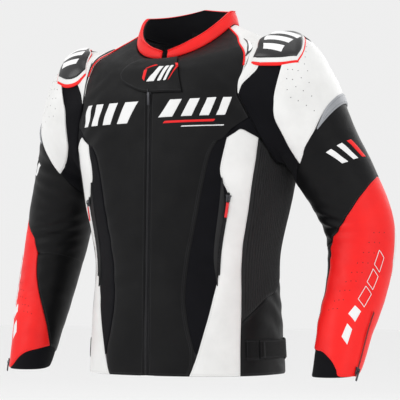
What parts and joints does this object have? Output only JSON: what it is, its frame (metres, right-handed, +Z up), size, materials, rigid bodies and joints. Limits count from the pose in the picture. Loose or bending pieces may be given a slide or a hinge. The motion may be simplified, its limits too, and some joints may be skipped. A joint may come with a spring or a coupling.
{
  "type": "leather riding jacket",
  "caption": "Close-fitting racing-style leather riding jacket with jointed pre-curved sleeves, stand collar and full front zip.",
  "frame": {"origin": "centre of the hem opening, in the hem plane", "axes": "+Z up towards the collar, -Y out of the front zip, +X towards the wearer's left arm"},
  "size_m": [0.7858, 0.294, 0.6886],
  "materials": {
    "black_leather": "grained, semi-matt",
    "white_leather": "smooth, semi-matt",
    "red_leather": "smooth, semi-matt",
    "ribbed_stretch_fabric": "matt, ribbed",
    "lining_fabric": "matt mesh",
    "armour_foam": "matt, perforated",
    "hard_cap_plastic": "satin",
    "zip_metal": "satin black"
  },
  "bodies": {
    "jacket": {"front_panel_l": "black_leather", "front_panel_r": "black_leather", "front_inset_l": "black_leather", "front_inset_r": "black_leather", "side_stripe_l": "white_leather", "side_stripe_r": "white_leather", "waist_side_l": "black_leather", "waist_side_r": "black_leather", "side_stretch_l": "ribbed_stretch_fabric", "side_stretch_r": "ribbed_stretch_fabric", "chest_panel_l": "black_leather", "chest_panel_r": "black_leather", "back_lower": "black_leather", "back_stretch": "ribbed_stretch_fabric", "back_upper": "black_leather", "shoulder_yoke": "white_leather", "collar": "red_leather", "collar_lining": "lining_fabric", "body_lining": "lining_fabric", "back_protector": "armour_foam", "hem_facing": "lining_fabric", "front_zip_tape_l": "lining_fabric", "front_zip_tape_r": "lining_fabric", "hanging_loop": "lining_fabric", "shoulder_gusset_l": "ribbed_stretch_fabric", "shoulder_gusset_r": "ribbed_stretch_fabric"},
    "zip_slider": {"front_zip_slider": "zip_metal", "front_zip_pull": "zip_metal"},
    "flap": {"chest_flap": "black_leather"},
    "upper_arm_l": {"upper_arm_front_l": "white_leather", "upper_arm_outer_l": "black_leather", "upper_arm_lining_l": "lining_fabric", "shoulder_armour_l": "armour_foam", "shoulder_cap_l": "hard_cap_plastic", "elbow_gusset_l": "ribbed_stretch_fabric"},
    "forearm_l": {"forearm_outer_l": "red_leather", "forearm_inner_l": "black_leather", "forearm_lining_l": "lining_fabric", "elbow_armour_l": "armour_foam", "cuff_l": "ribbed_stretch_fabric"},
    "cuff_slider_l": {"cuff_slider_l": "zip_metal"},
    "pocket_slider_l": {"pocket_slider_l": "zip_metal"},
    "waist_strap_l": {"waist_strap_l": "black_leather"},
    "upper_arm_r": {"upper_arm_front_r": "white_leather", "upper_arm_outer_r": "black_leather", "upper_arm_lining_r": "lining_fabric", "shoulder_armour_r": "armour_foam", "shoulder_cap_r": "hard_cap_plastic", "elbow_gusset_r": "ribbed_stretch_fabric"},
    "forearm_r": {"forearm_outer_r": "red_leather", "forearm_inner_r": "black_leather", "forearm_lining_r": "lining_fabric", "elbow_armour_r": "armour_foam", "cuff_r": "ribbed_stretch_fabric"},
    "cuff_slider_r": {"cuff_slider_r": "zip_metal"},
    "pocket_slider_r": {"pocket_slider_r": "zip_metal"},
    "waist_strap_r": {"waist_strap_r": "black_leather"}
  },
  "joints": [
    {"name": "front_zip", "type": "slide", "parent": "jacket", "child": "zip_slider", "axis": [0, -0.02, -0.9998], "range_m": [0, 0.47]},
    {"name": "flap_hinge", "type": "hinge", "parent": "jacket", "child": "flap", "pos_m": [0.06897, -0.1576, 0.51367], "axis": [-0.3769, 0.5044, 0.7769], "range_deg": [0, 100]},
    {"name": "shoulder_l", "type": "hinge", "parent": "jacket", "child": "upper_arm_l", "pos_m": [0.23, 0.01, 0.49], "axis": [-1, 0, 0], "range_deg": [0, 35], "deforming": ["shoulder_gusset_l"]},
    {"name": "elbow_l", "type": "hinge", "parent": "upper_arm_l", "child": "forearm_l", "pos_m": [0.3295, 0.045, 0.257], "axis": [-1, 0, 0], "range_deg": [0, 45], "deforming": ["elbow_gusset_l"]},
    {"name": "cuff_zip_l", "type": "slide", "parent": "forearm_l", "child": "cuff_slider_l", "axis": [0.1299, 0.3631, 0.9226], "range_m": [0, 0.07]},
    {"name": "pocket_zip_l", "type": "slide", "parent": "jacket", "child": "pocket_slider_l", "axis": [-0.1683, 0.0032, -0.9857], "range_m": [0, 0.095]},
    {"name": "strap_l", "type": "hinge", "parent": "jacket", "child": "waist_strap_l", "pos_m": [0.18136, 0.03931, 0.04697], "axis": [0, 0, 1], "range_deg": [0, 70]},
    {"name": "shoulder_r", "type": "hinge", "parent": "jacket", "child": "upper_arm_r", "pos_m": [-0.23, 0.01, 0.49], "axis": [-1, 0, 0], "range_deg": [0, 35], "deforming": ["shoulder_gusset_r"]},
    {"name": "elbow_r", "type": "hinge", "parent": "upper_arm_r", "child": "forearm_r", "pos_m": [-0.3295, 0.045, 0.257], "axis": [-1, 0, 0], "range_deg": [0, 45], "deforming": ["elbow_gusset_r"]},
    {"name": "cuff_zip_r", "type": "slide", "parent": "forearm_r", "child": "cuff_slider_r", "axis": [-0.1299, 0.3631, 0.9226], "range_m": [0, 0.07]},
    {"name": "pocket_zip_r", "type": "slide", "parent": "jacket", "child": "pocket_slider_r", "axis": [0.1683, 0.0032, -0.9857], "range_m": [0, 0.095]},
    {"name": "strap_r", "type": "hinge", "parent": "jacket", "child": "waist_strap_r", "pos_m": [-0.18136, 0.03931, 0.04697], "axis": [0, 0, -1], "range_deg": [0, 70]}
  ]
}
